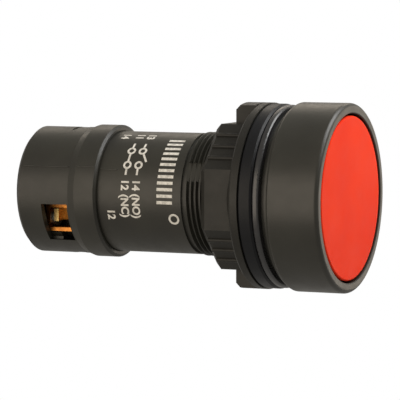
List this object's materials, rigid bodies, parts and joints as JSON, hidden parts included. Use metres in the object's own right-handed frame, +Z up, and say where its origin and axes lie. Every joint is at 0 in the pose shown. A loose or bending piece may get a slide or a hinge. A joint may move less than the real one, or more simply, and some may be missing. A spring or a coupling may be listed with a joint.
{
  "type": "push button switch",
  "caption": "Flush round red push button for a panel, with threaded barrel, ring nut and clipped terminal housing.",
  "frame": {"origin": "where the button's axis meets the panel seat, the rear face of the gasket", "axes": "+Y along the axis towards the terminals, so the red face looks towards -Y; +Z up"},
  "size_m": [0.03, 0.0541, 0.03],
  "materials": {
    "black_polyamide": "satin moulded, fine spark texture",
    "red_cap": "moulded through-coloured, satin gloss",
    "nitrile_rubber": "matt",
    "dark_nylon": "satin",
    "block_resin": "matt",
    "spring_steel": "drawn",
    "zinc_steel": "zinc plated",
    "terminal_brass": "stamped",
    "cage_copper": "stamped, copper toned",
    "contact_silver": "silver alloy"
  },
  "bodies": {
    "base": {"barrel": "black_polyamide", "bezel_ring": "black_polyamide", "panel_gasket": "nitrile_rubber", "plunger_seal": "nitrile_rubber", "terminal_housing": "black_polyamide", "contact_block": "block_resin", "terminal_11": "terminal_brass", "terminal_12": "terminal_brass", "terminal_13": "terminal_brass", "terminal_14": "terminal_brass", "fixed_tips": "contact_silver", "return_spring": "spring_steel"},
    "button": {"button_cap": "red_cap", "plunger": "black_polyamide", "retaining_clip": "spring_steel", "contact_carrier": "block_resin", "nc_contact_spring": "spring_steel", "no_contact_spring": "spring_steel"},
    "opening_bridge": {"nc_bridge": "terminal_brass", "nc_bridge_tips": "contact_silver"},
    "closing_bridge": {"no_bridge": "terminal_brass", "no_bridge_tips": "contact_silver"},
    "washer": {"lock_washer": "dark_nylon"},
    "nut": {"ring_nut": "black_polyamide"},
    "screw_11": {"terminal_screw_11": "zinc_steel"},
    "cage_11": {"clamp_cage_11": "cage_copper"},
    "screw_12": {"terminal_screw_12": "zinc_steel"},
    "cage_12": {"clamp_cage_12": "cage_copper"},
    "screw_13": {"terminal_screw_13": "zinc_steel"},
    "cage_13": {"clamp_cage_13": "cage_copper"},
    "screw_14": {"terminal_screw_14": "zinc_steel"},
    "cage_14": {"clamp_cage_14": "cage_copper"}
  },
  "joints": [
    {"name": "button_press", "type": "slide", "parent": "base", "child": "button", "axis": [0, 1, 0], "range_m": [0, 0.004], "stiffness_N_per_m": 700, "springref_m": -0.003, "deforming": ["return_spring", "nc_contact_spring", "no_contact_spring"]},
    {"name": "opening_bridge_move", "type": "slide", "parent": "base", "child": "opening_bridge", "axis": [0, 1, 0], "range_m": [0, 0.0024]},
    {"name": "closing_bridge_move", "type": "slide", "parent": "base", "child": "closing_bridge", "axis": [0, 1, 0], "range_m": [0, 0.0024]},
    {"name": "washer_slide", "type": "slide", "parent": "base", "child": "washer", "axis": [0, 1, 0], "range_m": [0, 0.004]},
    {"name": "nut_turn", "type": "hinge", "parent": "washer", "child": "nut", "pos_m": [0, 0.006, 0], "axis": [0, 1, 0], "range_deg": [0, 1800]},
    {"name": "screw_11_turn", "type": "hinge", "parent": "base", "child": "screw_11", "pos_m": [0.00495, 0.041, -0.0041], "axis": [0, -1, 0], "range_deg": [0, 720]},
    {"name": "cage_11_slide", "type": "slide", "parent": "base", "child": "cage_11", "axis": [0, 1, 0], "range_m": [0, 0.001]},
    {"name": "screw_12_turn", "type": "hinge", "parent": "base", "child": "screw_12", "pos_m": [-0.00495, 0.041, -0.0041], "axis": [0, -1, 0], "range_deg": [0, 720]},
    {"name": "cage_12_slide", "type": "slide", "parent": "base", "child": "cage_12", "axis": [0, 1, 0], "range_m": [0, 0.001]},
    {"name": "screw_13_turn", "type": "hinge", "parent": "base", "child": "screw_13", "pos_m": [0.00495, 0.041, 0.0041], "axis": [0, -1, 0], "range_deg": [0, 720]},
    {"name": "cage_13_slide", "type": "slide", "parent": "base", "child": "cage_13", "axis": [0, 1, 0], "range_m": [0, 0.001]},
    {"name": "screw_14_turn", "type": "hinge", "parent": "base", "child": "screw_14", "pos_m": [-0.00495, 0.041, 0.0041], "axis": [0, -1, 0], "range_deg": [0, 720]},
    {"name": "cage_14_slide", "type": "slide", "parent": "base", "child": "cage_14", "axis": [0, 1, 0], "range_m": [0, 0.001]}
  ],
  "couplings": [
    {"joint": "opening_bridge_move", "follows": "button_press", "ratio": 0.6},
    {"joint": "closing_bridge_move", "follows": "button_press", "ratio": 0.6},
    {"joint": "washer_slide", "follows": "nut_turn", "m_per_rad": 0.00012732},
    {"joint": "screw_11_turn", "follows": "cage_11_slide", "rad_per_m": 12566},
    {"joint": "screw_12_turn", "follows": "cage_12_slide", "rad_per_m": 12566},
    {"joint": "screw_13_turn", "follows": "cage_13_slide", "rad_per_m": 12566},
    {"joint": "screw_14_turn", "follows": "cage_14_slide", "rad_per_m": 12566}
  ]
}
